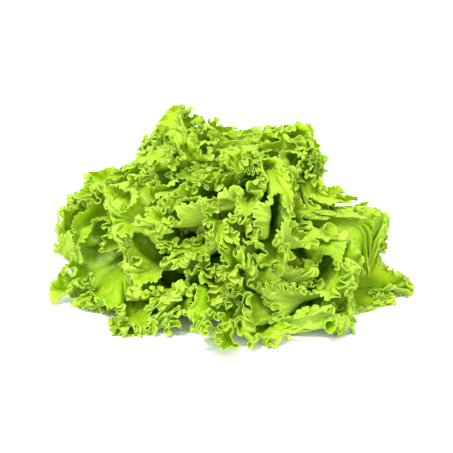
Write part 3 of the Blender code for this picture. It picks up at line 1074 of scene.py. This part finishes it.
def leaf_colour(n, flat, inset, veins, rib):
    taper = n.value("taper")
    underside = n.value("underside")
    patches = n.noise(flat, PATCH_SCALE, PATCH_DETAIL)
    green = n.blend(n.fade(patches, *PATCH_FADE), LEAF_GREEN, LEAF_DARK_TONE_AND_SHADE)
    # Painted shade: darker green farther in from the margin
    green = n.blend(n.times(n.fade(inset, *INSET_SHADE_FADE), INSET_SHADE_SHARE), green, LEAF_DARK_TONE_AND_SHADE)
    green = n.blend(n.times(n.value("heart"), HEART_SHARE), green, LEAF_HEART)
    green = n.blend(n.times(underside, UNDERSIDE_SHARE), green, LEAF_UNDERSIDE)
    green = n.blend(n.times(veins, VEIN_SHARE), green, LEAF_VEIN)
    # Painted highlight: lighter green along the very margin
    green = n.blend(n.times(n.fade(inset, *EDGE_HIGHLIGHT_FADE), EDGE_HIGHLIGHT_SHARE), green, LEAF_EDGE_HIGHLIGHT)
    pale = n.times_plus(underside, PALE_MORE_BELOW, PALE_INSIDE)
    green = n.blend(n.times(n.fade(taper, *STALK_FADE), pale), green, LEAF_STALK)
    green = n.blend(n.times(rib, pale), green, LEAF_STALK)
    # Painted shade: the upper face turns near-black green towards the leaf's base, deep in the head
    inside = n.times(n.math("SUBTRACT", 1.0, underside), n.fade(taper, *PAINTED_SHADE_FADE))
    return n.blend(n.times(inside, PAINTED_SHADE_SHARE), green, LEAF_PAINTED_SHADE)


def make_leaf_material():
    material = bpy.data.materials.new("leaf")
    n = Nodes(material)
    flat = n.place("flat")
    fan = n.put("ShaderNodeSeparateXYZ", {0: n.place("fan")})
    inset = fan.outputs[1]
    veins, rib = vein_pattern(n, flat, fan.outputs[0], inset)
    green = leaf_colour(n, flat, inset, veins, rib)
    blisters = n.times(n.noise(flat, BLISTER_SCALE), BLISTER_HEIGHT)
    bump = n.bump(n.times_plus(veins, VEIN_HEIGHT, blisters), LEAF_BUMP)
    rough = n.times_plus(n.noise(flat, ROUGH_SCALE), ROUGH_SWING, ROUGH_LEAST)
    inputs = {"Base Color": green, "Roughness": rough, "Normal": bump}
    shader = n.put("ShaderNodeBsdfPrincipled", inputs)
    shader.inputs["Specular IOR Level"].default_value = LEAF_SPECULAR
    through = n.blend(1.0, green, LEAF_THROUGH, "MULTIPLY")
    light = n.put("ShaderNodeBsdfTranslucent", {"Color": through, "Normal": bump})
    inputs = {0: TRANSLUCENCE, 1: shader.outputs[0], 2: light.outputs[0]}
    mix = n.put("ShaderNodeMixShader", inputs)
    n.put("ShaderNodeOutputMaterial", {0: mix.outputs[0]})
    return material


def make_stem_material():
    material = bpy.data.materials.new("stem")
    n = Nodes(material)
    solid = n.put("ShaderNodeTexCoord").outputs["Object"]
    lathe = n.put("ShaderNodeSeparateXYZ", {0: n.place("lathe")})
    bend = n.times_plus(n.noise(solid, RING_BEND_SCALE), RING_BEND, lathe.outputs[0])
    rings = n.fade(n.math("PINGPONG", bend, RING_SPACING), *RING_FADE)
    skin = n.blend(n.noise(solid, SKIN_SCALE, SKIN_DETAIL), STEM_SKIN, STEM_SKIN_DARK)
    face = n.blend(n.times(rings, RING_SHARE), STEM_CUT, STEM_CUT_RING)
    stain = n.fade(n.noise(solid, STAIN_SCALE, STAIN_DETAIL), *STAIN_FADE)
    face = n.blend(n.times(stain, STAIN_SHARE), face, STEM_STAIN)
    colour = n.blend(n.fade(lathe.outputs[1], *CUT_FADE), skin, face)
    grain = n.noise(solid, GRAIN_SCALE, GRAIN_DETAIL)
    bump = n.bump(n.times_plus(rings, RING_HEIGHT, grain), STEM_BUMP)
    shader = n.put("ShaderNodeBsdfPrincipled", {"Base Color": colour, "Normal": bump})
    shader.inputs["Roughness"].default_value = STEM_ROUGHNESS
    n.put("ShaderNodeOutputMaterial", {0: shader.outputs[0]})
    return material


def make_head():
    rng = np.random.default_rng(SEED)
    leaves = [make_leaf(index, rng) for index in range(LEAF_COUNT)]
    material = make_leaf_material()
    shift = stem_shift()
    for index, leaf in enumerate(leaves):
        make_leaf_piece(index, leaf, leaves, shift, material)
    make_stem(shift, make_stem_material())


def point_along(thing, direction):
    """Turn a camera or a light to look in this direction."""
    thing.rotation_euler = direction.to_track_quat("-Z", "Y").to_euler()


def make_camera():
    low, high = cad_bounds
    target = (Vector(low) + Vector(high)) / 2.0 + AIM_SHIFT
    back = Vector((0.0, -math.cos(CAMERA_ELEVATION), math.sin(CAMERA_ELEVATION)))
    data = bpy.data.cameras.new("camera")
    data.lens = LENS
    data.sensor_width = SENSOR
    camera = add_object("camera", data)
    camera.location = target + back * (FRAME_WIDTH * LENS / SENSOR)
    point_along(camera, -back)
    bpy.context.scene.camera = camera


def make_floor():
    mesh = bpy.data.meshes.new("floor")
    half = FLOOR_SIZE / 2.0
    corners = [(-half, -half, 0.0), (half, -half, 0.0), (half, half, 0.0), (-half, half, 0.0)]
    mesh.from_pydata(corners, [], [(0, 1, 2, 3)])
    material = bpy.data.materials.new("floor")
    material.use_nodes = True
    shader = material.node_tree.nodes["Principled BSDF"]
    shader.inputs["Base Color"].default_value = FLOOR_COLOUR
    shader.inputs["Roughness"].default_value = FLOOR_ROUGHNESS
    mesh.materials.append(material)
    floor = add_object("floor", mesh)
    floor.location = (0.0, 0.0, FLOOR_DROP)


def add_sun():
    data = bpy.data.lights.new("sun", "SUN")
    data.energy = SUN_STRENGTH
    data.angle = SUN_ANGLE
    point_along(add_object("sun", data), -SUN_FROM)


def add_front_light():
    data = bpy.data.lights.new("front", "AREA")
    data.energy = FRONT_LIGHT_POWER
    data.size = FRONT_LIGHT_SIZE
    light = add_object("front", data)
    light.location = FRONT_LIGHT_FROM
    point_along(light, FRONT_LIGHT_AIM - FRONT_LIGHT_FROM)


def make_lights():
    world = bpy.data.worlds.new("studio")
    bpy.context.scene.world = world
    world.use_nodes = True
    background = world.node_tree.nodes["Background"]
    background.inputs["Color"].default_value = WORLD_COLOUR
    background.inputs["Strength"].default_value = WORLD_STRENGTH
    add_sun()
    add_front_light()
    bpy.context.scene.view_settings.view_transform = "Standard"


make_camera()
make_floor()
make_lights()
make_head()
